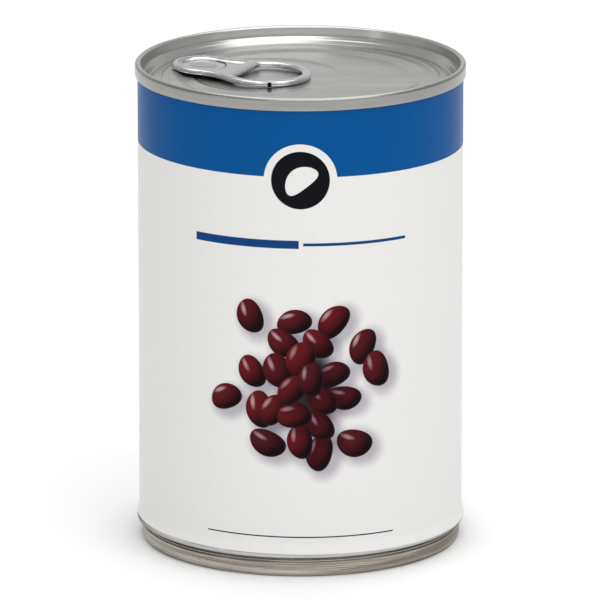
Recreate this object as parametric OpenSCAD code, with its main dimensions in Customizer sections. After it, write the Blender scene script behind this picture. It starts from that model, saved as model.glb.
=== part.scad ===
// Unopened steel food can with a double-seamed easy-open end, a ring pull tab
// and a wrap-around paper label. The can stands on its lower seam: +Z is up,
// the origin is on the can's axis at the foot, and -Y is the front.

/* [Can] */
// Height over both seams
can_h = 112.7; // [90:0.1:140]
// Outer radius of the upper seam, the widest metal of the can
rim_r = 38.1; // [31:0.1:46]
// How far the upper seam stands out past the body wall
seam_out = 0.7; // [0.5:0.05:1.2]

/* [Upper seam] */
// Height of the upper seam
seam_h = 3; // [2.4:0.1:3.8]
// Radial thickness of the upper seam at its crown
seam_t = 1.35; // [1.1:0.05:1.8]
// Radius of the crown's outer corner
crown_r = 0.7; // [0.4:0.05:0.7]
// Radius of the crown's inner corner and of the seam's lower edge
seam_edge_r = 0.3; // [0.15:0.05:0.35]

/* [Easy-open end] */
// Depth of the upright wall inside the seam
chuck_d = 2.2; // [1.8:0.1:2.6]
// How far the upright wall leans inwards
chuck_lean = 0.3; // [0.1:0.05:0.5]
// Width of the slanted wall below it
slant_w = 0.9; // [0.6:0.1:1.4]
// Depth of the countersink below the crown
sink_d = 4.6; // [4.3:0.1:5.4]
// Radius of the countersink's round floor
sink_r = 0.65; // [0.5:0.05:0.8]
// Depth of the outer panel below the crown
panel_d = 3.5; // [3.2:0.1:3.8]
// Radius of the panel's rolled edge
panel_edge_r = 0.5; // [0.3:0.05:0.6]
// Width of the panel's border, from its edge to the score
score_in = 1.5; // [1:0.1:2.5]
// Width of the score groove
score_w = 0.4; // [0.3:0.05:0.6]
// Depth of the score groove
score_d = 0.12; // [0.05:0.01:0.2]
// How far the middle of the panel is pressed down
deboss_d = 0.7; // [0.4:0.1:1]
// Width of the slope around the pressed middle
deboss_slope = 2; // [1:0.1:2.2]
// How far the finger well lies below the pressed middle
well_d = 0.45; // [0.3:0.05:0.6]
// Width of the slope around the finger well
well_slope = 1; // [0.6:0.1:1.5]
// Room between the tab's ring and the finger well's edge
well_margin = 6.8; // [5:0.1:7]
// Least metal between the finger well's floor and the underside of the end
end_floor = 1.5; // [1:0.1:3]

/* [Pull tab] */
// Direction of the rivet, seen from above
tab_az = 159.5; // [0:0.5:360]
// Turn of the tab about its rivet
tab_turn = -5.5; // [-8:0.5:8]
// Tilt of the tab, nose up
tab_tilt = 1.5; // [0:0.1:1.8]
// Thickness of the tab over its curled edges
tab_t = 1.35; // [1.1:0.05:1.4]
// Width of the curled edge
curl_w = 2.2; // [1.8:0.1:2.6]
// Corner radius of the curled edge
curl_r = 0.5; // [0.3:0.05:0.54]
// Outer radius of the nose
nose_r = 7.6; // [6.6:0.1:9.2]
// Outer radius of the finger ring
ring_r = 10.75; // [9.5:0.05:13]
// Distance from the rivet to the ring's centre
tab_pitch = 15.5; // [14.5:0.1:18.6]
// Radius of the hollow waist on each side
waist_r = 14; // [10:0.5:30]
// Distance from the ring's centre to the straight side of the finger hole
bar_x = 5.4; // [4:0.1:6.5]
// Thickness of the rivet island
island_t = 0.5; // [0.3:0.05:0.6]
// Width of the rim around the rivet island
island_rim = 2.2; // [1.6:0.1:2.6]
// How far the rivet island lies below the tab's top
island_drop = 0.45; // [0.3:0.05:0.6]
// Width of the slot around the rivet island
slot_w = 0.35; // [0.25:0.05:0.5]
// Width of the gap across the outer curl of the ring
nick_w = 0.6; // [0.3:0.1:0.9]
// Height of that gap, as a share of the tab's thickness
nick_h = 0.8; // [0.5:0.05:0.9]
// Angle of that gap around the ring, from the nose
nick_a = 122; // [95:1:150]
// Gap between the nose's tip and the score
nose_gap = 1; // [0.6:0.1:2]

/* [Rivet] */
// Radius of the rivet's shank
rivet_r = 2.2; // [1.6:0.1:2.5]
// Radius of the rivet's flat head
head_r = 3; // [2.8:0.1:3.8]
// Thickness of the rivet's head
head_t = 0.25; // [0.15:0.05:0.35]
// Radius of the raised seat under the tab
seat_r = 3.6; // [3:0.1:4.5]
// Clearance between the shank and the tab
shank_gap = 0.05; // [0.02:0.01:0.1]
// Clearance between the seat's side and the tab
seat_gap = 0.3; // [0.1:0.05:0.5]

/* [Foot] */
// How far the lower seam lies inside the upper one's outer radius
foot_in = 1.15; // [0.9:0.05:1.6]
// Height of the lower seam
foot_h = 3.5; // [3:0.1:4.2]
// Radius of the lower seam's outer bottom corner
foot_r = 0.95; // [0.6:0.05:1]
// Width of the flat ring that the can stands on
foot_flat = 0.3; // [0.2:0.05:0.5]
// Radius of the lower seam's inner bottom corner
foot_in_r = 0.25; // [0.15:0.05:0.4]
// Height of the shoulder above the foot
shoulder_z = 5; // [4.8:0.1:6.5]
// How far the shoulder stands out past the body wall
shoulder_out = 0.6; // [0.4:0.05:0.8]
// Roundness of the shoulder
shoulder_r = 0.3; // [0.2:0.05:0.4]
// How far the neck's foot lies inside the lower seam
neck_in = 0.45; // [0.3:0.05:0.7]

/* [Bottom end] */
// Height of the bottom panel above the foot
base_z = 3.4; // [3:0.1:4]
// Rise of the groove around the bottom panel
base_sink = 0.8; // [0.5:0.1:1]
// Width of the groove around the bottom panel
base_sink_w = 1.4; // [1:0.1:2]
// Number of raised rings on the bottom panel
base_beads = 3; // [1:1:4]
// Width of one raised ring
bead_w = 2; // [1:0.1:2.4]
// Height of one raised ring
bead_h = 0.4; // [0.2:0.05:0.6]
// Distance from one raised ring to the next
bead_pitch = 4.5; // [3:0.1:5.5]
// Thickness of metal above the bottom panel's groove
base_t = 1.8; // [1:0.1:3]

/* [Label] */
// Thickness of the paper
label_t = 0.1; // [0.08:0.01:0.2]
// Gap between the label's lower edge and the shoulder's flare
label_gap = 0.05; // [0.02:0.01:0.5]
// Width of the glued overlap at the back
lap_w = 9; // [6:0.5:14]

/* [Hidden] */
$fn = 128;
arc_steps = 8;
// Degrees between the points of the tab's outline, and steps that round its edges
bend_step = 6;
round_steps = 4;
cut = 1;

body_r = rim_r - seam_out;
crown_in = rim_r - seam_t;
chuck_r = crown_in - chuck_lean;
sink_out = chuck_r - slant_w;
sink_mid = sink_out - sink_r;
panel_r = sink_mid - sink_r;
score_r = panel_r - panel_edge_r - score_in;
middle_d = panel_d + deboss_d;
well_floor = middle_d + well_d;
plug_d = max(well_floor, sink_d) + end_floor;

rivet_x = score_r - nose_gap - nose_r;
ring_x = rivet_x - tab_pitch;
well_r = ring_r + well_margin;
deboss_r = ring_x + well_r + 0.3;
// Depth of the tab's underside at the rivet, so that the nose clears the outer panel
tip_clear = 0.12;
tab_z = can_h - panel_d + tip_clear - nose_r * sin(tab_tilt);
// Centre of the waist's circle, which touches the ring's and the nose's
waist_x = (pow(ring_r + waist_r, 2) - pow(nose_r + waist_r, 2) - pow(tab_pitch, 2)) / (2 * tab_pitch);
waist_y = sqrt(pow(nose_r + waist_r, 2) - pow(waist_x, 2));
ring_a = atan2(waist_y, waist_x + tab_pitch);
nose_a = atan2(waist_y, waist_x);
hole_r = ring_r - curl_w;
island_r = nose_r - island_rim;
island_z = tab_t - island_drop - island_t;
island_slot_a = 75;
// Height of the rivet's seat, which reaches down into the panel
seat_h = island_z + well_floor - (can_h - tab_z) + cut / 2;

foot_out = rim_r - foot_in;
foot_inner = foot_out - foot_r - foot_flat - foot_in_r;
shoulder_top = body_r + shoulder_out;
flare_z = shoulder_z + shoulder_out;
neck_r = foot_out - neck_in;
base_plug_r = foot_inner - 0.4;
// Distance from the bottom end's wall to the middle of its outermost raised ring
bead_in = 5;
base_plug_z = base_z + base_sink + base_t;
label_z = flare_z + label_gap;
label_r = body_r + label_t;
label_h = can_h - seam_h - label_z;

// Points of an arc about c, from angle a0 to angle a1
function arc(c, r, a0, a1) = [for (i = [0 : arc_steps])
    let (a = a0 + (a1 - a0) * i / arc_steps) [c[0] + r * cos(a), c[1] + r * sin(a)]];

// Outline of one pressed ring on the bottom panel, from its outer side to its inner one
function bead(r) = [for (i = [0 : arc_steps])
    let (k = i / arc_steps) [r + bead_w / 2 - bead_w * k, base_z - bead_h * pow(sin(180 * k), 2)]];

// Outline of the easy-open end, with the last of the wall under its seam: from the axis out,
// up over the seam and back over the panel
end_outline = concat(
    [[0, can_h - plug_d], [body_r, can_h - plug_d], [body_r, can_h - seam_h]],
    arc([rim_r - seam_edge_r, can_h - seam_h + seam_edge_r], seam_edge_r, -90, 0),
    arc([rim_r - crown_r, can_h - crown_r], crown_r, 0, 90),
    arc([crown_in + seam_edge_r, can_h - seam_edge_r], seam_edge_r, 90, 180),
    [[chuck_r, can_h - chuck_d]],
    arc([sink_mid, can_h - sink_d + sink_r], sink_r, 0, -180),
    arc([panel_r - panel_edge_r, can_h - panel_d - panel_edge_r], panel_edge_r, 0, 90),
    [[score_r + score_w / 2, can_h - panel_d], [score_r, can_h - panel_d - score_d],
     [score_r - score_w / 2, can_h - panel_d]],
    [[deboss_r + deboss_slope, can_h - panel_d], [deboss_r, can_h - middle_d], [0, can_h - middle_d]]);

// Outline of the solid body and its contents, with a seat for each end
body_outline = concat(
    [[0, base_plug_z], [base_plug_r, base_plug_z], [base_plug_r, foot_h], [neck_r, foot_h]],
    arc([shoulder_top - shoulder_r, shoulder_z], shoulder_r, -45, 45),
    [[body_r, flare_z], [body_r, can_h - plug_d], [0, can_h - plug_d]]);

// Outline of the bottom end, from the axis out along its beads and round the lower seam
base_outline = concat(
    [for (i = [base_beads - 1 : -1 : 0]) each reverse(bead(foot_inner - bead_in - i * bead_pitch))],
    [[foot_inner - base_sink_w, base_z], [foot_inner - base_sink_w * 2 / 3, base_z + base_sink],
     [foot_inner - base_sink_w / 3, base_z + base_sink]],
    arc([foot_inner + foot_in_r, foot_in_r], foot_in_r, 180, 270),
    arc([foot_out - foot_r, foot_r], foot_r, -90, 0),
    arc([foot_out - seam_edge_r, foot_h - seam_edge_r], seam_edge_r, 0, 90),
    [[base_plug_r, foot_h], [base_plug_r, base_plug_z], [0, base_plug_z], [0, base_z]]);

function reverse(list) = [for (i = [len(list) - 1 : -1 : 0]) list[i]];

// Places its children in the tab's own frame: rivet at the origin, nose along +X, underside at z = 0
module on_tab() {
    rotate([0, 0, tab_az])
        translate([rivet_x, 0, tab_z])
            rotate([0, -tab_tilt, tab_turn])
                children();
}

// Outline of the tab, drawn in by e: the ring, one waist, the nose and the other waist
function tab_loop(e) = concat(
    bend([-tab_pitch, 0], ring_r - e, ring_a, 360 - ring_a),
    bend([waist_x, -waist_y], waist_r + e, 180 - ring_a, 180 - nose_a),
    bend([0, 0], nose_r - e, -nose_a, nose_a),
    bend([waist_x, waist_y], waist_r + e, nose_a - 180, ring_a - 180));

// Outline of the finger hole, grown by e: the ring's inner arc and the curled bar
function hole_loop(e) =
    let (r = hole_r + e, x = bar_x - e, a = acos(x / r), n = 4 * arc_steps)
    [for (i = [0 : n]) let (t = a + (360 - 2 * a) * i / n) [r * cos(t) - tab_pitch, r * sin(t)]];

// Points of one bend of the tab's outline, without its last one
function bend(c, r, a0, a1) =
    let (n = ceil(abs(a1 - a0) / bend_step))
    [for (i = [0 : n - 1]) let (t = a0 + (a1 - a0) * i / n) [c[0] + r * cos(t), c[1] + r * sin(t)]];

// Solid through loops of equally many points, each at its own height
module loft(loops, heights) {
    n = len(loops[0]);
    polyhedron(
        points = [for (k = [0 : len(loops) - 1], p = loops[k]) [p[0], p[1], heights[k]]],
        faces = concat(
            [[for (i = [0 : n - 1]) i], [for (i = [n - 1 : -1 : 0]) (len(loops) - 1) * n + i]],
            [for (k = [0 : len(loops) - 2], i = [0 : n - 1]) let (j = (i + 1) % n)
                [k * n + i, (k + 1) * n + i, (k + 1) * n + j, k * n + j]]));
}

// Quarter turns that round the lower and the upper edge of the tab: [inset, height]
edge_steps = [for (i = [0 : round_steps]) let (t = 90 * i / round_steps)
    [curl_r * (1 - sin(t)), curl_r * (1 - cos(t))]];
edge_profile = concat(edge_steps, [for (p = reverse(edge_steps)) [p[0], tab_t - p[1]]]);

// Cutter for the finger hole, whose rims are round above and below
module hole_cutter() {
    rims = concat([[curl_r, -cut]], edge_profile, [[curl_r, tab_t + cut]]);
    loft([for (p = rims) hole_loop(p[0])], [for (p = rims) p[1]]);
}

// Cutter that leaves the sunk rivet island: a dish above it, the rivet's seat below it,
// the shank's hole, and the slot that frees the island on the ring's side
module island_cutter() {
    translate([0, 0, tab_t - island_drop]) cylinder(r = island_r, h = island_drop + cut);
    translate([0, 0, -cut]) cylinder(r = seat_r + seat_gap, h = cut + island_z);
    translate([0, 0, -cut]) cylinder(r = rivet_r + shank_gap, h = tab_t + 2 * cut);
    translate([0, 0, -cut])
        rotate([0, 0, 180 - island_slot_a])
            rotate_extrude(angle = 2 * island_slot_a)
                translate([island_r - slot_w, 0]) square([slot_w, tab_t + 2 * cut]);
}

// Cutter for the gap across the ring's outer curl
module nick_cutter() {
    translate([-tab_pitch, 0, 0])
        rotate([0, 0, nick_a])
            translate([ring_r - curl_w / 2, -nick_w / 2, -cut])
                cube([curl_w, nick_w, cut + tab_t * nick_h]);
}

module can_body() {
    color([0.72, 0.72, 0.71])
        rotate_extrude() polygon(body_outline);
}

module easy_open_end() {
    color([0.70, 0.70, 0.69]) {
        difference() {
            rotate_extrude() polygon(end_outline);
            rotate([0, 0, tab_az])
                translate([ring_x, 0, can_h - well_floor])
                    cylinder(r1 = well_r - well_slope, r2 = well_r, h = well_d);
        }
        on_tab() {
            translate([0, 0, island_z - seat_h]) cylinder(r = seat_r, h = seat_h);
            cylinder(r = rivet_r, h = island_z + island_t + head_t);
            translate([0, 0, island_z + island_t]) cylinder(r = head_r, h = head_t);
        }
    }
}

module bottom_end() {
    color([0.66, 0.64, 0.60])
        rotate_extrude() polygon(base_outline);
}

// Section of the label: one turn of paper and the glued overlap at the back
module label_section() {
    difference() {
        union() {
            circle(label_r);
            intersection() {
                circle(label_r + label_t);
                translate([-lap_w / 2, 0]) square([lap_w, 2 * label_r]);
            }
        }
        circle(body_r);
    }
}

module paper_label() {
    color([0.90, 0.90, 0.89])
        translate([0, 0, label_z])
            linear_extrude(label_h) label_section();
}

module pull_tab() {
    color([0.74, 0.74, 0.74])
        on_tab()
            difference() {
                loft([for (p = edge_profile) tab_loop(p[0])], [for (p = edge_profile) p[1]]);
                hole_cutter();
                island_cutter();
                nick_cutter();
            }
}

can_body();
easy_open_end();
bottom_end();
paper_label();
pull_tab();
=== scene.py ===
"""An unopened steel food can: seamed ends, a ring pull tab and a printed paper label."""
from math import atan2, cos, degrees, exp, hypot, pi, radians, sin, sqrt
from random import Random

import bmesh
import bpy
from mathutils import Matrix, Vector


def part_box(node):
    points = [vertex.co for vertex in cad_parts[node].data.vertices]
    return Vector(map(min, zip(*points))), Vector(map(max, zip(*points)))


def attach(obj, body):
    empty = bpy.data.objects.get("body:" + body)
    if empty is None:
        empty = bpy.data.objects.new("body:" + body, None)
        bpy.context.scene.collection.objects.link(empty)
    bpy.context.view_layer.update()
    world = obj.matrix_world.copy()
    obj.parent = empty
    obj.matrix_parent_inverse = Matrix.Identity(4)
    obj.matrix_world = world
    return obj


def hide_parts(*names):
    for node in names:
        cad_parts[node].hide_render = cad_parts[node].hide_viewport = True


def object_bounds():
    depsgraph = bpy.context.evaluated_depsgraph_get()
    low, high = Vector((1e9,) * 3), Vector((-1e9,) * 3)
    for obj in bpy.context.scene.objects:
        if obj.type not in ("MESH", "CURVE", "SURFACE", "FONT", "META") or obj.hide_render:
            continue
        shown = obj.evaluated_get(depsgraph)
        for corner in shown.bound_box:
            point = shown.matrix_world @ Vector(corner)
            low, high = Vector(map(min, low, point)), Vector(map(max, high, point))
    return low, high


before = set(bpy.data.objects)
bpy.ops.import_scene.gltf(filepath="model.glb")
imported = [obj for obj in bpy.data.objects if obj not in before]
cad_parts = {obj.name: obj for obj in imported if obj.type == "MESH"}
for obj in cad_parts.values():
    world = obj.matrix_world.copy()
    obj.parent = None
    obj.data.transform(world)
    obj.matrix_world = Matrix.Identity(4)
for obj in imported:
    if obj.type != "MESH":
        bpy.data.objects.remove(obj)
cad_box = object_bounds()

MM = 0.001
FULL_TURN = 2 * pi

# ---------------------------------------------------------------- sizes from the frame
can_high = cad_box[1]
can_top = can_high[2]
rim_r = can_high[0]
label_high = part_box("paper_label")[1]
foot_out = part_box("bottom_end")[1][0]

# The lid, as depths below the crown and widths inwards from the rim
seam_h = 3.0 * MM
seam_t = 1.35 * MM
crown_r = 0.7 * MM
seam_edge_r = 0.3 * MM
crown_in_r = 0.55 * MM
crown_end_d = 0.62 * MM
chuck_d = 2.2 * MM
chuck_lean = 0.3 * MM
slant_w = 0.9 * MM
slant_lean = 27
slant_turn_r = 0.35 * MM
sink_d = 4.6 * MM
sink_r = 0.65 * MM
panel_d = 3.5 * MM
panel_edge_r = 0.5 * MM
score_in = 1.5 * MM
score_w = 0.5 * MM
score_d = 0.12 * MM
score_bead_h = 0.10 * MM
score_bead_in = 0.75 * MM
score_bead_w = 0.45 * MM
deboss_d = 0.45 * MM
deboss_slope = 3.0 * MM
well_d = 0.28 * MM
well_slope = 1.4 * MM
well_margin = 6.8 * MM
rivet_rise = 1.2 * MM
rivet_base_r = 4.6 * MM
rivet_slope = 1.4 * MM
lid_under_d = 6.1 * MM
lid_under_in = 1.4 * MM

# The tab, in its own frame: rivet at the origin, nose along +X
tab_az = radians(159.5)
tab_turn = radians(-5.5)
tab_tilt = radians(1.5)
tab_t = 1.35 * MM
curl_w = 2.2 * MM
curl_r = 0.62 * MM
web_drop = 0.55 * MM
island_r = 5.1 * MM
nose_r = 7.6 * MM
ring_r = 10.75 * MM
tab_pitch = 15.5 * MM
waist_r = 14.0 * MM
bar_x = 6.2 * MM
nose_gap = 1.0 * MM
tip_clear = 0.12 * MM
dish_drop = 0.66 * MM
hole_corner_r = 3.2 * MM
slot_w = 0.32 * MM
slot_half_turn = radians(78)
groove_d = 0.12 * MM
groove_half_turn = radians(150)

# The gap in the tab's curl, and the small folds beside it
nick_a = radians(122)
nick_w = 0.95 * MM
nick_long = 2.4 * MM
nick_deep = 1.12 * MM
nick_mid_z = 0.62 * MM
nick_in = 0.2 * MM
fold_h = 0.045 * MM
fold_pitch = 0.26 * MM
fold_reach = 2.6 * MM
fold_depth = 1.3 * MM

# The foot, the shoulder and the label
body_in = 0.7 * MM
body_r = rim_r - body_in
shoulder_out = 0.6 * MM
shoulder_z = 5.0 * MM
shoulder_edge_r = 0.3 * MM
flare_top = 8.2 * MM
crease_r = 0.16 * MM
label_foot_z = 5.65 * MM
label_skew = 0.0085
paper_t = 0.1 * MM
lap_half = 4.5 * MM
foot_h = 3.5 * MM
foot_r = 0.95 * MM
foot_flat = 0.3 * MM
foot_in_r = 0.25 * MM
neck_in = 0.45 * MM
base_z = 3.4 * MM
base_sink = 0.8 * MM
foot_line_d = 0.075 * MM
foot_line_w = 0.035
foot_lines = (0.16, 0.40, 0.62, 0.86)
base_ring_d = 0.4 * MM
base_ring_w = 0.75 * MM
base_ring_in = 5.0 * MM
base_ring_step = 4.5 * MM

crown_in = rim_r - seam_t
chuck_r = crown_in - chuck_lean
sink_out = chuck_r - slant_w
sink_mid = sink_out - sink_r
panel_r = sink_mid - sink_r
score_r = panel_r - panel_edge_r - score_in
rivet_at = score_r - nose_gap - nose_r
well_at = rivet_at - tab_pitch
well_r = ring_r + well_margin
deboss_r = well_at + well_r + 0.3 * MM


# ---------------------------------------------------------------- shapes
def bend(cx, cy, r, a0, a1, steps):
    """Points along an arc about (cx, cy), angles in degrees."""
    turn = [radians(a0 + (a1 - a0) * i / steps) for i in range(steps + 1)]
    return [(cx + r * cos(a), cy + r * sin(a)) for a in turn]


def ease(t):
    """Smooth step from 0 to 1."""
    t = min(max(t, 0.0), 1.0)
    return t * t * (3 - 2 * t)


def piece(name, mesh, slot, *nodes):
    """Puts a finished mesh on the can's body, in place of its CAD nodes."""
    obj = bpy.data.objects.new(name, mesh)
    bpy.context.collection.objects.link(obj)
    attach(obj, "root")
    if nodes:
        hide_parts(*nodes)
    return obj


def turned(name, outline, steps=288, closed=False):
    """Mesh of an outline of (radius, height) points turned about the can's axis."""
    verts, rows = [], []
    for r, z in outline:
        if r < 1e-7:
            rows.append([len(verts)] * steps)
            verts.append((0.0, 0.0, z))
            continue
        rows.append(range(len(verts), len(verts) + steps))
        turns = [FULL_TURN * k / steps for k in range(steps)]
        verts += [(r * cos(a), r * sin(a), z) for a in turns]
    pairs = list(zip(rows, rows[1:])) + ([(rows[-1], rows[0])] if closed else [])
    faces = []
    for low, high in pairs:
        for k in range(steps):
            j = (k + 1) % steps
            corners = [low[k], low[j], high[j], high[k]]
            corners = [c for i, c in enumerate(corners) if c not in corners[:i]]
            if len(corners) > 2:
                faces.append(corners)
    mesh = bpy.data.meshes.new(name)
    mesh.from_pydata(verts, [], faces)
    mesh.validate()
    mesh.shade_smooth()
    return mesh


def facing_out(mesh):
    """Turns every face of a closed mesh outwards."""
    bm = bmesh.new()
    bm.from_mesh(mesh)
    bmesh.ops.recalc_face_normals(bm, faces=bm.faces)
    bm.to_mesh(mesh)
    bm.free()
    return mesh


# ---------------------------------------------------------------- node graph helpers
class Graph:
    """Adds nodes to a tree and links them, with sockets and plain numbers alike as inputs."""

    def __init__(self, tree):
        self.tree = tree

    def node(self, kind, inputs=(), **settings):
        made = self.tree.nodes.new(kind)
        for key, value in settings.items():
            setattr(made, key, value)
        pairs = inputs.items() if isinstance(inputs, dict) else enumerate(inputs)
        for key, value in pairs:
            self.put(made.inputs[key], value)
        return made

    def put(self, socket, value):
        if isinstance(value, bpy.types.NodeSocket):
            self.tree.links.new(value, socket)
        elif value is not None:
            socket.default_value = value

    def math(self, operation, *values):
        return self.node("ShaderNodeMath", values, operation=operation).outputs[0]

    def vector(self, operation, *values):
        made = self.node("ShaderNodeVectorMath", values, operation=operation)
        return made.outputs["Value" if operation in ("LENGTH", "DOT_PRODUCT", "DISTANCE") else "Vector"]

    def remap(self, value, low, high, to_low=0.0, to_high=1.0, kind="SMOOTHSTEP"):
        made = self.node("ShaderNodeMapRange", interpolation_type=kind)
        for key, item in zip(("Value", "From Min", "From Max", "To Min", "To Max"),
                             (value, low, high, to_low, to_high)):
            self.put(made.inputs[key], item)
        return made.outputs["Result"]

    def blend(self, share, first, second, kind="MIX"):
        made = self.node("ShaderNodeMix", data_type="RGBA", blend_type=kind)
        self.put(made.inputs[0], share)
        self.put(made.inputs[6], first)
        self.put(made.inputs[7], second)
        return made.outputs[2]

    def noise(self, vector, scale, detail=3.0, rough=0.5, stretch=None):
        if stretch:
            vector = self.vector("MULTIPLY", vector, stretch)
        made = self.node("ShaderNodeTexNoise", {"Vector": vector, "Scale": scale, "Detail": detail,
                                                "Roughness": rough})
        return made.outputs["Fac"]

    def split(self, vector):
        return self.node("ShaderNodeSeparateXYZ", [vector]).outputs

    def along(self, vector, axis):
        """One part of a vector, which takes less of the renderer's memory than a split."""
        return self.vector("DOT_PRODUCT", vector, [float(i == axis) for i in range(3)])

    def joined(self, x, y, z=0.0):
        return self.node("ShaderNodeCombineXYZ", [x, y, z]).outputs[0]

    def place(self):
        """Place on the piece, in metres."""
        return self.node("ShaderNodeTexCoord").outputs["Object"]

    def grouped(self, group, **values):
        made = self.node("ShaderNodeGroup", node_tree=group)
        for key, value in values.items():
            self.put(made.inputs[key.replace("_", " ")], value)
        return made.outputs


SOCKETS = {"value": "NodeSocketFloat", "colour": "NodeSocketColor", "vector": "NodeSocketVector"}


def new_group(name, takes, gives):
    """A shader node group with named sockets: its tree, graph, and what it takes and gives."""
    tree = bpy.data.node_groups.new(name, "ShaderNodeTree")
    for direction, sockets in (("INPUT", takes), ("OUTPUT", gives)):
        for label, kind in sockets:
            tree.interface.new_socket(label, in_out=direction, socket_type=SOCKETS[kind])
    taken = tree.nodes.new("NodeGroupInput").outputs
    given = tree.nodes.new("NodeGroupOutput").inputs
    return tree, Graph(tree), taken, given


def new_material(name):
    """A material with one Principled shader: the material, its graph and the shader's inputs."""
    made = bpy.data.materials.new(name)
    made.use_nodes = True
    graph = Graph(made.node_tree)
    shader = made.node_tree.nodes["Principled BSDF"]
    return made, graph, shader.inputs


def rgb(red, green, blue):
    """Linear colour from the eight-bit values that a colour chart gives."""
    def linear(c):
        c /= 255
        return c / 12.92 if c <= 0.04045 else ((c + 0.055) / 1.055) ** 2.4
    return (linear(red), linear(green), linear(blue), 1.0)


def finish_bump(graph, shader, height, strength, distance):
    """Relief of the surface from a height."""
    made = graph.node("ShaderNodeBump", {"Strength": strength, "Distance": distance, "Height": height})
    graph.put(shader["Normal"], made.outputs["Normal"])


# ---------------------------------------------------------------- shared effects
def grain_group():
    """Drawn-out grain of rolled tinplate: lines along X of the vector, which is in metres."""
    tree, g, taken, given = new_group(
        "rolled_grain", [("Place", "vector"), ("Fineness", "value"), ("Stretch", "value")],
        [("Tone", "value"), ("Height", "value")])
    x, y, z = g.split(taken["Place"])
    along = g.joined(g.math("DIVIDE", x, taken["Stretch"]), y, z)
    fine = g.noise(along, taken["Fineness"], 4.0, 0.65)
    broad = g.noise(along, g.math("MULTIPLY", taken["Fineness"], 0.12), 2.0, 0.5)
    g.put(given["Tone"], g.math("ADD", g.math("MULTIPLY", fine, 0.55), g.math("MULTIPLY", broad, 0.45)))
    g.put(given["Height"], fine)
    return tree


def marks_group():
    """Scuffs and finger smudges from handling, as masks."""
    tree, g, taken, given = new_group(
        "handling_marks", [("Place", "vector"), ("Amount", "value")],
        [("Scuffs", "value"), ("Smudge", "value")])
    turn = g.node("ShaderNodeVectorRotate", [taken["Place"]], rotation_type="Z_AXIS")
    turn.inputs["Angle"].default_value = 0.7
    lines = g.noise(turn.outputs[0], 420.0, 2.0, 0.5, (1.0, 0.06, 1.0))
    patches = g.noise(taken["Place"], 60.0, 2.0, 0.5)
    scuffs = g.math("MULTIPLY", g.remap(lines, 0.66, 0.74), g.remap(patches, 0.5, 0.62))
    g.put(given["Scuffs"], g.math("MULTIPLY", scuffs, taken["Amount"]))
    smudge = g.noise(taken["Place"], 38.0, 4.0, 0.6)
    g.put(given["Smudge"], g.math("MULTIPLY", g.remap(smudge, 0.45, 0.7), taken["Amount"]))
    return tree


def wrap_group():
    """Place on the wrapped label, in millimetres: across from the front's middle, and up.

    The label was wrapped a little askew: its print falls by the skew for each metre towards +X.
    """
    tree, g, taken, given = new_group(
        "wrapped_place", [("Place", "vector"), ("Radius", "value"), ("Skew", "value")],
        [("Across", "value"), ("Up", "value")])
    x, y, z = g.split(taken["Place"])
    turn = g.math("ARCTAN2", x, g.math("MULTIPLY", y, -1.0))
    g.put(given["Across"], g.math("MULTIPLY", g.math("MULTIPLY", turn, taken["Radius"]), 1000.0))
    level = g.math("ADD", z, g.math("MULTIPLY", x, taken["Skew"]))
    g.put(given["Up"], g.math("MULTIPLY", level, 1000.0))
    return tree


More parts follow.
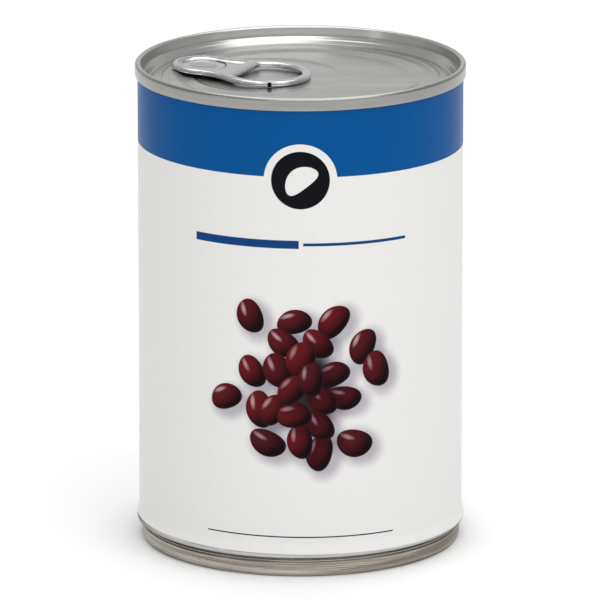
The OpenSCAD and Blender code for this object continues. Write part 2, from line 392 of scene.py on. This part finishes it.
def bean_group():
    """One printed bean laid over what is printed under it, with its soft shadow."""
    tree, g, taken, given = new_group(
        "printed_bean",
        [("Under", "colour"), ("Place", "vector"), ("Middle", "vector"), ("Half Size", "vector"),
         ("Turn", "value"), ("Gloss", "value"), ("Tint", "colour")],
        [("Print", "colour")])
    away = g.vector("SUBTRACT", taken["Place"], taken["Middle"])
    # Its shadow lies to the lower right
    shade_away = g.vector("SUBTRACT", away, (1.3, -1.0, 0.0))
    back = g.math("MULTIPLY", taken["Turn"], -1.0)

    def own(vector):
        made = g.node("ShaderNodeVectorRotate", [vector], rotation_type="Z_AXIS")
        g.put(made.inputs["Angle"], back)
        return made.outputs[0]

    spot = g.vector("DIVIDE", own(away), taken["Half Size"])
    x, y = g.along(spot, 0), g.along(spot, 1)
    # A bean is an oval with one side bent in
    y = g.math("ADD", y, g.math("MULTIPLY", g.math("MULTIPLY", x, x), 0.16))
    y = g.math("SUBTRACT", y, 0.05)
    reach = g.math("SQRT", g.math("ADD", g.math("MULTIPLY", x, x), g.math("MULTIPLY", y, y)))
    shape = g.remap(reach, 1.0, 0.955)
    fall = g.math("SUBTRACT", 1.0, g.math("MULTIPLY", reach, reach))
    rise = g.math("SQRT", g.math("MAXIMUM", fall, 0.0))
    facing = g.joined(x, y, rise)
    # Lit from the upper left, whichever way the bean lies
    light = own((-0.52, 0.50, 0.0))
    lamp = g.vector("ADD", light, (0.0, 0.0, 0.69))
    lit = g.vector("DOT_PRODUCT", facing, lamp)
    body = g.blend(g.remap(lit, -0.1, 1.1), (0.004, 0.0008, 0.0016, 1.0), taken["Tint"])
    # The highlight is a soft window, longer along the bean
    glow_middle = g.vector("MULTIPLY", light, (0.75, 0.95, 0.0))
    glow = g.vector("SUBTRACT", g.joined(x, y), glow_middle)
    gx, gy = g.along(glow, 0), g.along(glow, 1)
    window = g.math("SQRT", g.math("ADD", g.math("MULTIPLY", g.math("MULTIPLY", gx, gx), 5.5),
                                   g.math("MULTIPLY", g.math("MULTIPLY", gy, gy), 26.0)))
    glint = g.math("MULTIPLY", g.remap(window, 1.2, 0.15), taken["Gloss"])
    body = g.blend(glint, body, (0.50, 0.30, 0.33, 1.0))
    edge = g.math("MULTIPLY", g.remap(reach, 0.80, 0.99), g.remap(lit, 0.0, 0.6, 0.4, 0.0))
    body = g.blend(edge, body, (0.045, 0.016, 0.032, 1.0))
    shade_turned = own(shade_away)
    shade_size = g.vector("MULTIPLY", taken["Half Size"], (1.2, 1.3, 1.0))
    far = g.vector("LENGTH", g.vector("DIVIDE", shade_turned, shade_size))
    shadow = g.math("MULTIPLY", g.remap(far, 1.35, 0.6), 0.58)
    shaded = g.blend(1.0, taken["Under"], (0.27, 0.22, 0.32, 1.0), "MULTIPLY")
    ground = g.blend(shadow, taken["Under"], shaded)
    g.put(given["Print"], g.blend(shape, ground, body))
    return tree


def paper_group():
    """Coated paper: fine fibre, slow waves where it lies on the can, and a little tone."""
    tree, g, taken, given = new_group(
        "coated_paper", [("Across", "value"), ("Up", "value")],
        [("Height", "value"), ("Tone", "value"), ("Gloss", "value")])
    flat = g.joined(taken["Across"], taken["Up"])
    fibre = g.noise(flat, 3.2, 4.0, 0.6)
    waves = g.noise(flat, 0.06, 2.0, 0.4, (1.0, 0.35, 1.0))
    g.put(given["Height"],
          g.math("ADD", g.math("MULTIPLY", fibre, 0.04), g.math("MULTIPLY", waves, 0.96)))
    g.put(given["Tone"], g.remap(g.noise(flat, 0.8, 3.0, 0.5), 0.3, 0.7, 0.985, 1.0))
    g.put(given["Gloss"], g.remap(fibre, 0.3, 0.7))
    return tree


# ---------------------------------------------------------------- label print, in millimetres
band_low = 94.3
badge_up = 93.6
badge_r = 6.7
badge_gap_r = 8.4
title_up = 78.6
title_half = 12.6
rule_up = 9.6
rule_half = 22.5
heap_across = 1.4
heap_up = 45.2
# Beans that lie apart: place across and up in millimetres, then turn in degrees
stray_beans = [(-11.6, 61.4, 112), (7.6, 60.4, 48), (-11.2, 48.4, 122), (-17.6, 41.8, 22),
               (-1.4, 60.4, 12), (-9.4, 39.6, 100), (-7.6, 31.8, 158), (14.6, 54.2, 66),
               (18.0, 48.6, 108), (12.6, 31.6, 166), (4.4, 29.6, 76)]
heap_beans = 13


def heap_of_beans():
    """The printed heap: a close spiral of beans and a few that lie apart."""
    draw = Random(17)
    golden = pi * (3 - sqrt(5))
    placed = [(across, up, radians(turn)) for across, up, turn in stray_beans]
    for k in reversed(range(heap_beans)):
        r, a = 3.35 * sqrt(k + 0.35), golden * k + 0.9
        placed.append((heap_across + 0.84 * r * cos(a), heap_up + 1.1 * r * sin(a), pi * draw.random()))
    made = []
    for across, up, turn in placed:
        length = 4.0 + 0.55 * draw.random()
        made.append(dict(middle=(across, up, 0.0), turn=turn,
                         half=(length, length * (0.69 + 0.08 * draw.random()), 1.0),
                         gloss=0.45 + 0.45 * draw.random(), red=0.6 + 0.7 * draw.random()))
    return made


def label_material():
    """Coated paper printed with a blue band, a black badge and a heap of beans."""
    made, g, shader = new_material("printed_label")
    place = g.grouped(wrapped_place, Place=g.place(), Radius=label_high[0], Skew=label_skew)
    across, up = place["Across"], place["Up"]
    sheet = g.grouped(coated_paper, Across=across, Up=up)
    flat = g.joined(across, up)

    white = rgb(226, 225, 223)
    blue = rgb(0, 79, 142)
    black = rgb(12, 14, 18)
    ink = white
    band = g.remap(up, band_low - 0.06, band_low + 0.06)
    from_badge = g.vector("DISTANCE", flat, (0.0, badge_up, 0.0))
    halo = g.remap(from_badge, badge_gap_r + 0.06, badge_gap_r - 0.06)
    ink = g.blend(g.math("MULTIPLY", band, g.math("SUBTRACT", 1.0, halo)), ink, blue)
    ink = g.blend(g.remap(from_badge, badge_r + 0.06, badge_r - 0.06), ink, black)

    # A plain bean shape in the badge
    spot = g.node("ShaderNodeVectorRotate", [g.vector("SUBTRACT", flat, (0.0, badge_up, 0.0))],
                  rotation_type="Z_AXIS")
    spot.inputs["Angle"].default_value = radians(-38)
    x, y, _ = g.split(g.vector("DIVIDE", spot.outputs[0], (4.3, 2.5, 1.0)))
    y = g.math("ADD", y, g.math("SUBTRACT", g.math("MULTIPLY", g.math("MULTIPLY", x, x), 0.42), 0.16))
    bean = g.math("SQRT", g.math("ADD", g.math("MULTIPLY", x, x), g.math("MULTIPLY", y, y)))
    ink = g.blend(g.remap(bean, 1.02, 0.98), ink, white)

    def bar(middle_across, middle_up, half_w, half_h, colour, under):
        """A flat printed bar over what is under it."""
        side = g.math("ABSOLUTE", g.math("SUBTRACT", across, middle_across))
        rise = g.math("ABSOLUTE", g.math("SUBTRACT", up, middle_up))
        mask = g.math("MULTIPLY", g.remap(side, half_w + 0.05, half_w - 0.05),
                      g.remap(rise, half_h + 0.05, half_h - 0.05))
        return g.blend(mask, under, colour)

    deep_blue = rgb(12, 62, 118)
    ink = bar(-13.0, title_up, title_half, 0.95, deep_blue, ink)
    ink = bar(13.2, title_up, title_half, 0.35, deep_blue, ink)
    ink = bar(0.0, rule_up, rule_half, 0.16, rgb(60, 62, 66), ink)

    # Deep shade between the beans in the middle of the heap
    from_heap = g.vector("SUBTRACT", flat, (heap_across + 0.4, heap_up - 0.5, 0.0))
    depth = g.vector("LENGTH", g.vector("DIVIDE", from_heap, (7.6, 10.6, 1.0)))
    ink = g.blend(g.math("MULTIPLY", g.remap(depth, 1.12, 0.6), 0.95), ink, (0.010, 0.004, 0.006, 1.0))

    for bean in heap_of_beans():
        red = bean["red"]
        ink = g.grouped(printed_bean, Under=ink, Place=flat, Middle=bean["middle"],
                        Half_Size=bean["half"], Turn=bean["turn"], Gloss=bean["gloss"],
                        Tint=(0.098 * red, 0.0065, 0.0105, 1.0))["Print"]
    ink = g.blend(1.0, ink, g.joined(sheet["Tone"], sheet["Tone"], sheet["Tone"]), "MULTIPLY")
    g.put(shader["Base Color"], ink)
    g.put(shader["Roughness"], g.remap(sheet["Gloss"], 0.0, 1.0, 0.30, 0.38))
    shader["Specular IOR Level"].default_value = 0.06
    finish_bump(g, shader, sheet["Height"], 0.35, 0.0002)
    return made


# ---------------------------------------------------------------- metal finishes
def around_place(g, place):
    """Place as (way round, height, radius) in metres, so that grain runs round the can."""
    x, y, z = g.split(place)
    turn = g.math("MULTIPLY", g.math("ARCTAN2", y, x), rim_r)
    radius = g.math("SQRT", g.math("ADD", g.math("MULTIPLY", x, x), g.math("MULTIPLY", y, y)))
    return g.joined(turn, z, radius)


def tinplate(name, colour, dark, rough, fineness, stretch, marks, relief, round_grain, edge=1.0):
    """Tinplate with drawn-out grain, smudges and scuffs.

    The grain runs round the can, or straight along X. Edge dims what it mirrors at a low angle.
    """
    made, g, shader = new_material(name)
    place = g.place()
    run = around_place(g, place) if round_grain else place
    grain = g.grouped(rolled_grain, Place=run, Fineness=fineness, Stretch=stretch)
    worn = g.grouped(handling_marks, Place=place, Amount=marks)
    tone = g.blend(g.remap(grain["Tone"], 0.35, 0.65), dark, colour)
    tone = g.blend(g.math("MULTIPLY", worn["Smudge"], 0.18), tone, dark)
    g.put(shader["Base Color"], tone)
    shader["Metallic"].default_value = 1.0
    shader["Specular Tint"].default_value = (edge, edge, edge, 1.0)
    base = g.remap(grain["Tone"], 0.3, 0.7, rough * 1.12, rough * 0.9)
    base = g.math("ADD", base, g.math("MULTIPLY", worn["Smudge"], 0.06))
    g.put(shader["Roughness"], g.math("ADD", base, g.math("MULTIPLY", worn["Scuffs"], 0.15)))
    finish_bump(g, shader, g.math("SUBTRACT", grain["Height"], g.math("MULTIPLY", worn["Scuffs"], 0.4)),
                relief, 0.00003)
    return made


rolled_grain = grain_group()
handling_marks = marks_group()
wrapped_place = wrap_group()
printed_bean = bean_group()
coated_paper = paper_group()


# ---------------------------------------------------------------- the lid
def lid_outline():
    """From under the seam, over the crown, down the chuck wall and in to the middle of the panel."""
    points = [(body_r + 0.02 * MM, can_top - seam_h + 0.05 * MM)]
    points += bend(rim_r - seam_edge_r, can_top - seam_h + seam_edge_r, seam_edge_r, -90, 0, 6)
    points += [(rim_r, can_top - seam_h + 0.9 * MM), (rim_r, can_top - 1.2 * MM)]
    points += bend(rim_r - crown_r, can_top - crown_r, crown_r, 0, 90, 10)
    points += bend(crown_in + crown_in_r, can_top - crown_in_r, crown_in_r, 90, 176, 8)
    wall_h = chuck_d - crown_end_d - 0.2 * MM
    points += [(crown_in + (chuck_r - crown_in) * t, can_top - crown_end_d - wall_h * t)
               for t in (0.25, 0.6, 0.9)]
    low = can_top - sink_d + sink_r
    lean = radians(slant_lean)
    turn_r = slant_turn_r
    high = low + (cos(lean) * (chuck_r - turn_r - sink_mid) - (sink_r - turn_r)) / sin(lean)
    points += bend(chuck_r - turn_r, high, turn_r, 0, -slant_lean, 5)
    points += bend(sink_mid, low, sink_r, -slant_lean, -176, 12)
    points += bend(panel_r - panel_edge_r, can_top - panel_d - panel_edge_r, panel_edge_r, 6, 90, 8)
    return points


def lid_height(x, y):
    """Height of the pressed panel: its border, score, pressed middle and finger well."""
    r = hypot(x, y)
    z = can_top - panel_d
    z -= deboss_d * ease((deboss_r + deboss_slope - r) / deboss_slope)
    z -= score_d * exp(-((r - score_r) / (score_w * 0.35)) ** 2)
    z += score_bead_h * exp(-((r - score_r + score_bead_in) / score_bead_w) ** 2)
    from_well = hypot(x - well_at * cos(tab_az), y - well_at * sin(tab_az))
    z -= well_d * ease((well_r - from_well) / well_slope)
    from_rivet = hypot(x - rivet_at * cos(tab_az), y - rivet_at * sin(tab_az))
    z += rivet_rise * ease((rivet_base_r - from_rivet) / rivet_slope)
    return z


def make_lid():
    """The easy-open end, as one pressed sheet rolled into the upper seam."""
    edge = panel_r - panel_edge_r
    rings = [edge * (1 - t) for t in [i / 120 for i in range(1, 120)]] + [0.0]
    outline = lid_outline() + [(r, can_top - panel_d) for r in rings]
    under_z, under_r = can_top - lid_under_d, body_r - lid_under_in
    under = [(0.0, under_z), (under_r, under_z), (under_r, can_top - seam_h - 0.02 * MM)]
    mesh = turned("easy_open_lid", outline + under, 360, closed=True)
    for v in mesh.vertices:
        if hypot(v.co.x, v.co.y) < edge - 1e-6 and v.co.z > can_top - panel_d - 0.01 * MM:
            v.co.z = lid_height(v.co.x, v.co.y)
    for material in (lid_tin, wall_tin, seam_shade_tin):
        mesh.materials.append(material)
    # Panel, walls, then the outer seam, whose darker copy of the same tinplate is painted shade
    for face in mesh.polygons:
        r = hypot(face.center.x, face.center.y)
        face.material_index = int(r > panel_r - 0.1 * MM) + int(r > rim_r - 0.4 * MM)
    return facing_out(mesh)


# ---------------------------------------------------------------- the body and the foot
def flare_out(z):
    """How far the can and its label swell out over the shoulder, at a height."""
    return shoulder_out * ease((flare_top - z) / (flare_top - shoulder_z))


def flare_heights():
    """Heights from the shoulder to the top of its flare."""
    return [shoulder_z + (flare_top - shoulder_z) * i / 12 for i in range(13)]


def body_outline():
    """From the seat of the foot, out over the neck and the shoulder and up behind the label."""
    neck_r = foot_out - neck_in
    points = [(neck_r - 2.0 * MM, foot_h), (neck_r + 0.02 * MM, foot_h)]
    points += bend(neck_r + 0.2 * MM, foot_h + 0.2 * MM, crease_r, 250, 140, 5)
    points += bend(body_r + shoulder_out - shoulder_edge_r, shoulder_z, shoulder_edge_r, -52, 0, 8)
    points += [(body_r + flare_out(z) - 0.01 * MM, z) for z in flare_heights() if z > shoulder_z]
    points += [(body_r, can_top - seam_h), (body_r - 1.0 * MM, can_top - seam_h)]
    return points


def foot_outline():
    """The lower seam with its rolled lines, then the pressed bottom panel with its rings."""
    inner = foot_out - foot_r - foot_flat - foot_in_r
    neck_r = foot_out - neck_in
    points = [(neck_r - 2.0 * MM, foot_h + 0.01 * MM), (neck_r - 0.1 * MM, foot_h + 0.01 * MM)]
    points += bend(foot_out - 0.4 * MM, foot_h - 0.4 * MM, 0.4 * MM, 90, 10, 8)
    rise = foot_h - 0.5 * MM - foot_r
    for i in range(1, 48):
        t = i / 48
        line = sum(exp(-((t - at) / foot_line_w) ** 2) for at in foot_lines)
        points.append((foot_out - foot_line_d * line, foot_h - 0.47 * MM - rise * t))
    points += bend(foot_out - foot_r, foot_r, foot_r, 0, -90, 12)
    points += bend(inner + foot_in_r, foot_in_r, foot_in_r, 270, 180, 6)
    points += [(inner - 0.02 * MM, base_z * t) for t in (0.4, 0.8)]
    points += bend(inner - 0.6 * MM, base_z + base_sink - 0.6 * MM, 0.6 * MM, 10, 170, 10)
    for i in range(1, 161):
        r = (inner - 1.5 * MM) * (1 - i / 160)
        ring = sum(exp(-((r - inner + base_ring_in + base_ring_step * k) / base_ring_w) ** 2)
                   for k in range(3))
        points.append((r, base_z - base_ring_d * ring))
    return points


# ---------------------------------------------------------------- the label
def make_label():
    """One sheet of paper wrapped round the can, its free edge glued over its start at the back."""
    low_z, high_z = label_foot_z, label_high[2]
    lap = lap_half / body_r
    heights = [low_z] + [z for z in flare_heights() if z > low_z + 0.05 * MM]
    heights += [flare_top + (high_z - flare_top) * i / 20 for i in range(1, 21)]
    across, up = 400, len(heights) - 1
    start, end = -pi - lap, pi + lap
    verts, faces = [], []
    uv_of = []
    for side in (0, 1):
        for i in range(across + 1):
            s = start + (end - start) * i / across
            lift = ease((s - (pi - lap - 0.02)) / 0.02) * 1.05 * paper_t
            lift += 0.06 * MM * ease((s - (pi + lap - 0.03)) / 0.03)
            r = body_r + lift + side * paper_t + 0.004 * MM
            for k, z in enumerate(heights):
                z -= label_skew * r * sin(s) * (high_z - z) / (high_z - low_z)
                out = r + flare_out(z)
                verts.append((out * sin(s), -out * cos(s), z))
                uv_of.append((i / across, (0.05 + 0.95 * k / up) if side else 0.04 * k / up))
    size = (across + 1) * (up + 1)

    def at(side, i, k):
        return side * size + i * (up + 1) + k

    for i in range(across):
        for k in range(up):
            faces.append([at(1, i, k), at(1, i + 1, k), at(1, i + 1, k + 1), at(1, i, k + 1)])
            faces.append([at(0, i, k), at(0, i, k + 1), at(0, i + 1, k + 1), at(0, i + 1, k)])
        for k in (0, up):
            rim = [at(0, i, k), at(0, i + 1, k), at(1, i + 1, k), at(1, i, k)]
            faces.append(rim if k == 0 else rim[::-1])
    for i in (0, across):
        for k in range(up):
            rim = [at(0, i, k), at(1, i, k), at(1, i, k + 1), at(0, i, k + 1)]
            faces.append(rim if i == 0 else rim[::-1])
    mesh = bpy.data.meshes.new("label_wrap")
    mesh.from_pydata(verts, [], faces)
    layer = mesh.uv_layers.new(name="OFBake")
    for loop in mesh.loops:
        layer.data[loop.index].uv = uv_of[loop.vertex_index]
    mesh.shade_smooth()
    mesh.set_sharp_from_angle(angle=radians(40))
    return facing_out(mesh)


# ---------------------------------------------------------------- the tab
def tab_frame():
    """Takes the tab's own frame to its place over the panel."""
    under = can_top - panel_d + tip_clear - nose_r * sin(tab_tilt)
    return (Matrix.Rotation(tab_az, 4, "Z") @ Matrix.Translation((rivet_at, 0, under))
            @ Matrix.Rotation(tab_turn, 4, "Z") @ Matrix.Rotation(-tab_tilt, 4, "Y"))


def tab_loop(inset):
    """Outline of the tab drawn in by inset: ring, waist, nose, waist."""
    wx = ((ring_r + waist_r) ** 2 - (nose_r + waist_r) ** 2 - tab_pitch ** 2) / (2 * tab_pitch)
    wy = sqrt((nose_r + waist_r) ** 2 - wx ** 2)
    ring_a, nose_a = degrees(atan2(wy, wx + tab_pitch)), degrees(atan2(wy, wx))
    points = bend(-tab_pitch, 0, ring_r - inset, ring_a, 360 - ring_a, 600)[:-1]
    points += bend(wx, -wy, waist_r + inset, 180 - ring_a, 180 - nose_a, 16)[:-1]
    points += bend(0, 0, nose_r - inset, -nose_a, nose_a, 72)[:-1]
    points += bend(wx, wy, waist_r + inset, nose_a - 180, ring_a - 180, 16)[:-1]
    return points


def hole_loop(grow):
    """Outline of the finger hole grown by grow, with round corners at the bar."""
    r, x, corner = ring_r - curl_w + grow, bar_x - grow, hole_corner_r
    cx = x - corner
    cy = sqrt((r - corner) ** 2 - cx ** 2)
    a = degrees(atan2(cy, cx))
    points = bend(0, 0, r, a, 360 - a, 80)
    points += bend(cx, -cy, corner, -a, 0, 8) + bend(cx, cy, corner, 0, a, 8)[:-1]
    return [(px - tab_pitch, py) for px, py in points[:-1]]


def rounded_plate(name, loops, thickness, edge_r):
    """Flat plate between closed loops, its rims rolled round."""
    curve = bpy.data.curves.new(name, "CURVE")
    curve.dimensions = "2D"
    curve.fill_mode = "BOTH"
    for loop in loops:
        spline = curve.splines.new("POLY")
        spline.points.add(len(loop) - 1)
        for point, (x, y) in zip(spline.points, loop):
            point.co = (x, y, 0, 1)
        spline.use_cyclic_u = True
    curve.extrude = thickness / 2 - edge_r
    curve.bevel_depth = edge_r
    curve.bevel_resolution = 6
    holder = bpy.data.objects.new(name, curve)
    bpy.context.collection.objects.link(holder)
    bpy.context.view_layer.update()
    mesh = bpy.data.meshes.new_from_object(holder.evaluated_get(bpy.context.evaluated_depsgraph_get()))
    bpy.data.objects.remove(holder)
    bpy.data.curves.remove(curve)
    bm = bmesh.new()
    bm.from_mesh(mesh)
    bmesh.ops.remove_doubles(bm, verts=bm.verts, dist=2e-6)
    bmesh.ops.recalc_face_normals(bm, faces=bm.faces)
    bm.to_mesh(mesh)
    bm.free()
    mesh.transform(Matrix.Translation((0, 0, thickness / 2)))
    return mesh


def carve(mesh, *cutters):
    """Cuts each cutter mesh out of a mesh, and gives the result."""
    holder = bpy.data.objects.new("carved", mesh)
    bpy.context.collection.objects.link(holder)
    tools = []
    for cutter in cutters:
        tool = bpy.data.objects.new("cutter", cutter)
        bpy.context.collection.objects.link(tool)
        cut = holder.modifiers.new("cut", "BOOLEAN")
        cut.operation, cut.solver, cut.object = "DIFFERENCE", "EXACT", tool
        cut.material_mode = "TRANSFER" if cutter.materials else "INDEX"
        tools.append(tool)
    bpy.context.view_layer.update()
    made = bpy.data.meshes.new_from_object(holder.evaluated_get(bpy.context.evaluated_depsgraph_get()))
    for obj in tools + [holder]:
        bpy.data.objects.remove(obj)
    return made


def cutting_ring(name, inner, outer, low, high, half_turn, steps=120):
    """Closed ring segment about the rivet, open for the rest of the turn on the nose's side."""
    verts, faces = [], []
    for k in range(steps + 1):
        a = pi - half_turn + 2 * half_turn * k / steps
        verts += [(r * cos(a), r * sin(a), z)
                  for r, z in ((inner, low), (outer, low), (outer, high), (inner, high))]
    for k in range(steps):
        for i in range(4):
            j = (i + 1) % 4
            faces.append([4 * k + i, 4 * k + j, 4 * k + 4 + j, 4 * k + 4 + i])
    faces += [[3, 2, 1, 0], [4 * steps, 4 * steps + 1, 4 * steps + 2, 4 * steps + 3]]
    mesh = bpy.data.meshes.new(name)
    mesh.from_pydata(verts, [], faces)
    return facing_out(mesh)


def make_tab():
    """The pull tab: curled edge, sunk web and rivet island with its slot, and the gap in the curl."""
    mesh = rounded_plate("pull_tab", [tab_loop(curl_r), hole_loop(curl_r)], tab_t, curl_r)
    mesh.materials.append(tab_steel)
    web_end = bar_x - tab_pitch + 1.5 * MM
    web = rounded_plate("web", [[p for p in tab_loop(1.9 * MM) if p[0] > web_end]], 2 * MM, 0.5 * MM)
    web.transform(Matrix.Translation((0, 0, tab_t - web_drop)))
    dish = rounded_plate("dish", [bend(0, 0, island_r - 0.1 * MM, 0, 360, 96)[:-1]], 2 * MM, 0.1 * MM)
    dish.transform(Matrix.Translation((0, 0, tab_t - dish_drop)))
    slot = cutting_ring("slot", island_r - slot_w, island_r, -MM, 3 * MM, slot_half_turn)
    groove = cutting_ring("groove", island_r - 0.12 * MM, island_r + 0.06 * MM,
                          tab_t - dish_drop - groove_d, 3 * MM, groove_half_turn)
    hollow = [(0.0, -MM), (3.9 * MM, -MM), (3.9 * MM, 0.4 * MM), (0.0, 0.4 * MM)]
    under = facing_out(turned("under", hollow, 64))
    nick = bpy.data.meshes.new("nick")
    bm = bmesh.new()
    bmesh.ops.create_cube(bm, size=1.0)
    bm.transform(Matrix.Translation((-tab_pitch, 0, 0)) @ Matrix.Rotation(nick_a, 4, "Z")
                 @ Matrix.Translation((ring_r - nick_in, 0, nick_mid_z))
                 @ Matrix.Diagonal((nick_long, nick_w, nick_deep, 1)))
    bm.to_mesh(nick)
    bm.free()
    # The gap's cut faces take a near-black finish: painted shade for the hollow, unlit inside of the
    # curl
    nick.materials.append(painted_gap_shade)
    mesh = carve(mesh, web, dish, slot, groove, under, facing_out(nick))
    ripple(mesh)
    mesh.shade_smooth()
    mesh.set_sharp_from_angle(angle=radians(32))
    mesh.transform(tab_frame())
    return mesh


def ripple(mesh):
    """Small folds that the curl's sheet takes on each side of its gap."""
    for v in mesh.vertices:
        x, y = v.co.x + tab_pitch, v.co.y
        r = hypot(x, y)
        along = (atan2(y, x) - nick_a) * ring_r
        if r > ring_r - fold_depth and abs(along) < fold_reach:
            fold = fold_h * cos(along / fold_pitch * pi) * ease((fold_reach - abs(along)) / (1.4 * MM))
            fold *= ease((r - ring_r + fold_depth) / (0.5 * MM))
            v.co.x += fold * x / r
            v.co.y += fold * y / r
            v.co.z += fold * 0.8 if v.co.z > tab_t / 2 else 0.0


def make_rivet():
    """The rivet's flattened head, pressed almost level with the island around it."""
    base = tab_t - dish_drop
    points = [(0.0, base - 1.6 * MM), (2.2 * MM, base - 1.6 * MM), (2.2 * MM, base), (3.0 * MM, base)]
    points += [(r * MM, base + 0.16 * MM * ease((3.1 - r) / 0.9))
               for r in (2.9, 2.75, 2.6, 2.45, 2.3, 2.1, 1.8)]
    points += [(1.2 * MM, base + 0.15 * MM), (0.6 * MM, base + 0.135 * MM), (0.0, base + 0.13 * MM)]
    mesh = facing_out(turned("rivet", points, 72))
    mesh.transform(tab_frame())
    return mesh


# ---------------------------------------------------------------- pieces
body_tin = tinplate("body_tinplate", (0.52, 0.515, 0.50, 1), (0.38, 0.375, 0.36, 1), rough=0.16,
                    fineness=900.0, stretch=14.0, marks=0.6, relief=0.10, round_grain=True, edge=0.45)
lid_tin = tinplate("lid_tinplate", (0.525, 0.525, 0.505, 1), (0.45, 0.452, 0.435, 1), rough=0.24,
                   fineness=1400.0, stretch=18.0, marks=0.5, relief=0.06, round_grain=False)
wall_tin = tinplate("wall_tinplate", (0.56, 0.56, 0.54, 1), (0.50, 0.50, 0.48, 1), rough=0.22,
                    fineness=700.0, stretch=30.0, marks=0.5, relief=0.04, round_grain=True)
# A darker copy of the lid's tinplate for the outer seam: painted shade on the same metal
seam_shade_tin = tinplate("seam_shade_tinplate", (0.37, 0.365, 0.35, 1), (0.31, 0.305, 0.29, 1), rough=0.22,
                    fineness=700.0, stretch=30.0, marks=0.5, relief=0.04, round_grain=True)
foot_tin = tinplate("foot_tinplate", (0.60, 0.56, 0.51, 1), (0.24, 0.205, 0.17, 1), rough=0.26,
                    fineness=1100.0, stretch=26.0, marks=0.9, relief=0.15, round_grain=True, edge=0.75)
tab_steel = tinplate("tab_steel", (0.66, 0.66, 0.665, 1), (0.56, 0.56, 0.565, 1), rough=0.14,
                     fineness=1600.0, stretch=10.0, marks=0.5, relief=0.05, round_grain=False)
label_print = label_material()
# Near-black metal for the cut faces in the tab's gap: painted shade, where the inside of the curl lies
# in shadow
painted_gap_shade = tinplate("painted_gap_shade", (0.03, 0.03, 0.03, 1), (0.02, 0.02, 0.02, 1), rough=0.5,
                    fineness=900.0, stretch=4.0, marks=0.0, relief=0.0, round_grain=False)

lid = piece("easy_open_lid", make_lid(), "end_tinplate", "easy_open_end")
body = piece("tin_body", facing_out(turned("tin_body", body_outline())), "body_tinplate", "can_body")
foot = piece("foot_end", facing_out(turned("foot_end", foot_outline())), "foot_tinplate", "bottom_end")
label = piece("label_wrap", make_label(), "label_paper", "paper_label")
tab = piece("ring_tab", make_tab(), "tab_steel", "pull_tab")
rivet = piece("rivet_head", make_rivet(), "end_tinplate")
for obj, material in ((lid, lid_tin), (body, body_tin), (foot, foot_tin), (label, label_print),
                      (tab, tab_steel), (rivet, lid_tin)):
    if not obj.data.materials:
        obj.data.materials.append(material)


# ---------------------------------------------------------------- studio
def floor():
    """Plain pale floor under the can."""
    mesh = bpy.data.meshes.new("floor")
    reach = 6.0
    corners = [(-reach, -reach, 0), (reach, -reach, 0), (reach, reach, 0), (-reach, reach, 0)]
    mesh.from_pydata(corners, [], [(0, 1, 2, 3)])
    obj = bpy.data.objects.new("floor", mesh)
    bpy.context.collection.objects.link(obj)
    made, g, shader = new_material("pale_floor")
    tone = g.noise(g.place(), 3.0, 2.0, 0.5)
    g.put(shader["Base Color"], g.blend(tone, (0.90, 0.90, 0.90, 1), (0.93, 0.93, 0.93, 1)))
    shader["Roughness"].default_value = 0.8
    mesh.materials.append(made)


def softbox(name, place, aim, width, height, power):
    """A soft rectangular light."""
    light = bpy.data.lights.new(name, "AREA")
    light.shape = "RECTANGLE"
    light.size, light.size_y, light.energy = width, height, power
    obj = bpy.data.objects.new(name, light)
    bpy.context.collection.objects.link(obj)
    obj.location = place
    obj.rotation_euler = (Vector(aim) - Vector(place)).to_track_quat("-Z", "Y").to_euler()


def sky():
    """Pale surroundings, a little darker at the sides and overhead than in front and behind."""
    world = bpy.data.worlds.new("studio")
    bpy.context.scene.world = world
    world.use_nodes = True
    g = Graph(world.node_tree)
    world.node_tree.nodes["Background"].inputs["Strength"].default_value = 1.0
    way = g.node("ShaderNodeTexCoord").outputs["Generated"]
    _, depth, up = g.split(way)
    low = g.blend(g.remap(depth, -0.9, -0.2), (0.74, 0.74, 0.74, 1), (0.48, 0.48, 0.48, 1))
    low = g.blend(g.remap(depth, 0.3, 0.8), low, (0.70, 0.70, 0.70, 1))
    colour = g.blend(g.remap(up, 0.2, 0.9), low, (0.50, 0.50, 0.50, 1))
    g.put(world.node_tree.nodes["Background"].inputs["Color"], colour)


def camera():
    """Camera in front of the can, looking down on it."""
    tilt = radians(14.608)
    lens = bpy.data.cameras.new("camera")
    lens.sensor_width, lens.lens = 36.0, 497.8
    lens.clip_start, lens.clip_end = 0.1, 20.0
    obj = bpy.data.objects.new("camera", lens)
    bpy.context.collection.objects.link(obj)
    obj.location = (-0.00011, -1.8596, 0.5406)
    obj.rotation_euler = (pi / 2 - tilt, 0, 0)
    bpy.context.scene.camera = obj


floor()
middle = (0, 0, can_top / 2)
softbox("top_light", (0.1, 0.1, 1.45), (0.1, 0.1, 0), 1.8, 1.9, 18.0)
softbox("key_light", (0.45, -1.2, 1.15), middle, 2.3, 0.6, 8.0)
softbox("left_strip", (-1.5, -1.0, 0.35), middle, 0.25, 0.9, 0.5)
softbox("right_strip", (1.6, -0.8, 0.35), middle, 0.25, 0.9, 0.2)
sky()
camera()
bpy.context.scene.view_settings.view_transform = "Standard"
